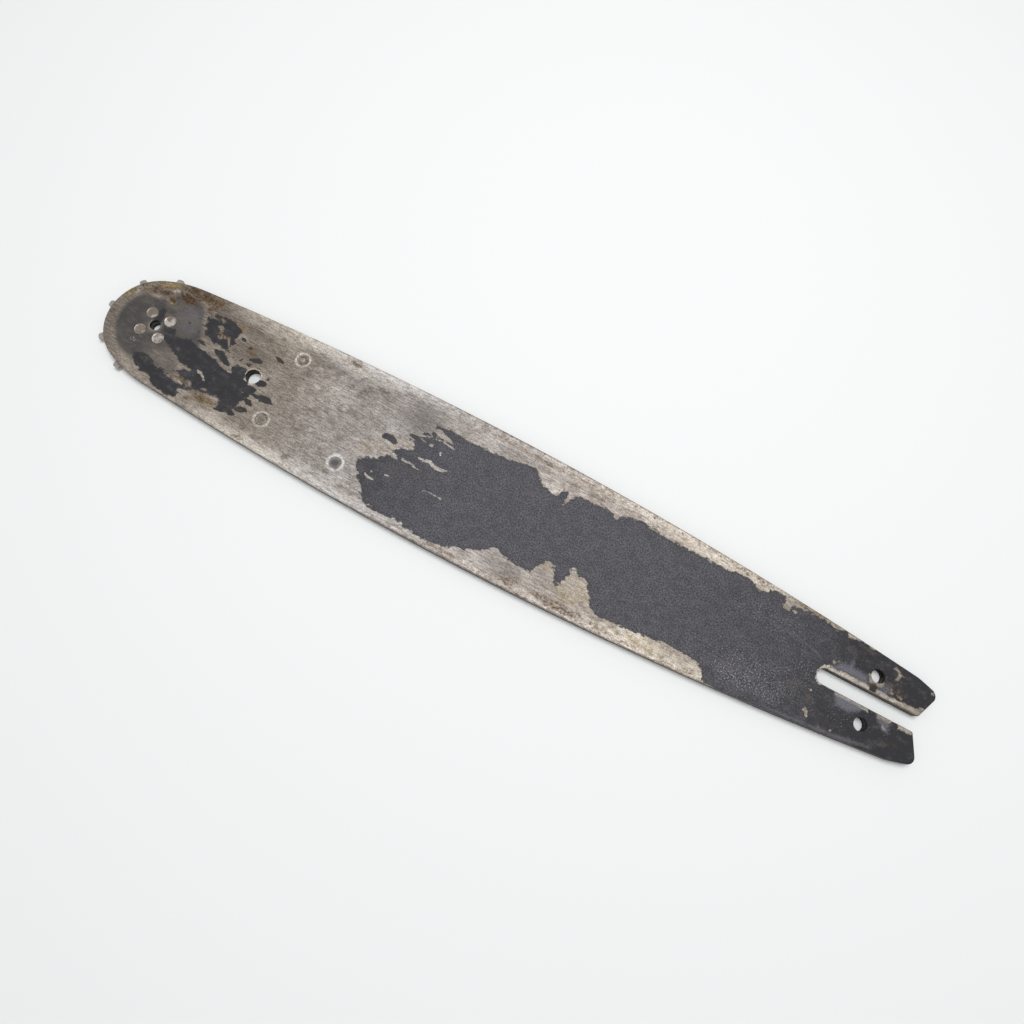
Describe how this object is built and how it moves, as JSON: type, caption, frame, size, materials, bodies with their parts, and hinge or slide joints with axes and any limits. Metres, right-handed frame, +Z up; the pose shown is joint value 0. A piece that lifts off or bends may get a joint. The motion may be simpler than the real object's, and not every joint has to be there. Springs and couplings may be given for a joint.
{
  "type": "chainsaw guide bar",
  "caption": "Laminated chainsaw guide bar with a riveted sprocket nose, a chain groove between its rails, an open stud slot and tension holes; worn charcoal paint over bare steel.",
  "frame": {"origin": "on the surface that the bar lies on, under the middle of its box", "axes": "+X along the bar from nose to tail, +Y across the rails, +Z up through the bar's thickness"},
  "size_m": [0.3858, 0.0606, 0.0042],
  "materials": {
    "worn_paint": "matt charcoal paint, worn through to warm grey steel along the rails and behind the nose",
    "core_steel": "dull steel, dark with oil in the groove",
    "sprocket_steel": "hardened steel, dull with oil",
    "bearing_steel": "ground bearing steel",
    "rivet_steel": "upset rivet ends, rubbed bright"
  },
  "bodies": {
    "bar": {"upper_side_plate": "worn_paint", "lower_side_plate": "worn_paint", "core_plate": "core_steel", "bearing_race": "bearing_steel", "nose_rivets": "rivet_steel"},
    "sprocket": {"nose_sprocket": "sprocket_steel"},
    "rollers": {"bearing_roller_01": "bearing_steel", "bearing_roller_02": "bearing_steel", "bearing_roller_03": "bearing_steel", "bearing_roller_04": "bearing_steel", "bearing_roller_05": "bearing_steel", "bearing_roller_06": "bearing_steel", "bearing_roller_07": "bearing_steel", "bearing_roller_08": "bearing_steel", "bearing_roller_09": "bearing_steel", "bearing_roller_10": "bearing_steel", "bearing_roller_11": "bearing_steel", "bearing_roller_12": "bearing_steel", "bearing_roller_13": "bearing_steel", "bearing_roller_14": "bearing_steel", "bearing_roller_15": "bearing_steel", "bearing_roller_16": "bearing_steel", "bearing_roller_17": "bearing_steel", "bearing_roller_18": "bearing_steel", "bearing_roller_19": "bearing_steel"}
  },
  "joints": [
    {"name": "sprocket_spin", "type": "hinge", "parent": "bar", "child": "sprocket", "pos_m": [-0.16802, 0, 0.0021], "axis": [0, 0, 1], "continuous": true},
    {"name": "roller_orbit", "type": "hinge", "parent": "bar", "child": "rollers", "pos_m": [-0.16802, 0, 0.0021], "axis": [0, 0, 1], "continuous": true}
  ],
  "couplings": [
    {"joint": "roller_orbit", "follows": "sprocket_spin", "ratio": 0.58326}
  ]
}
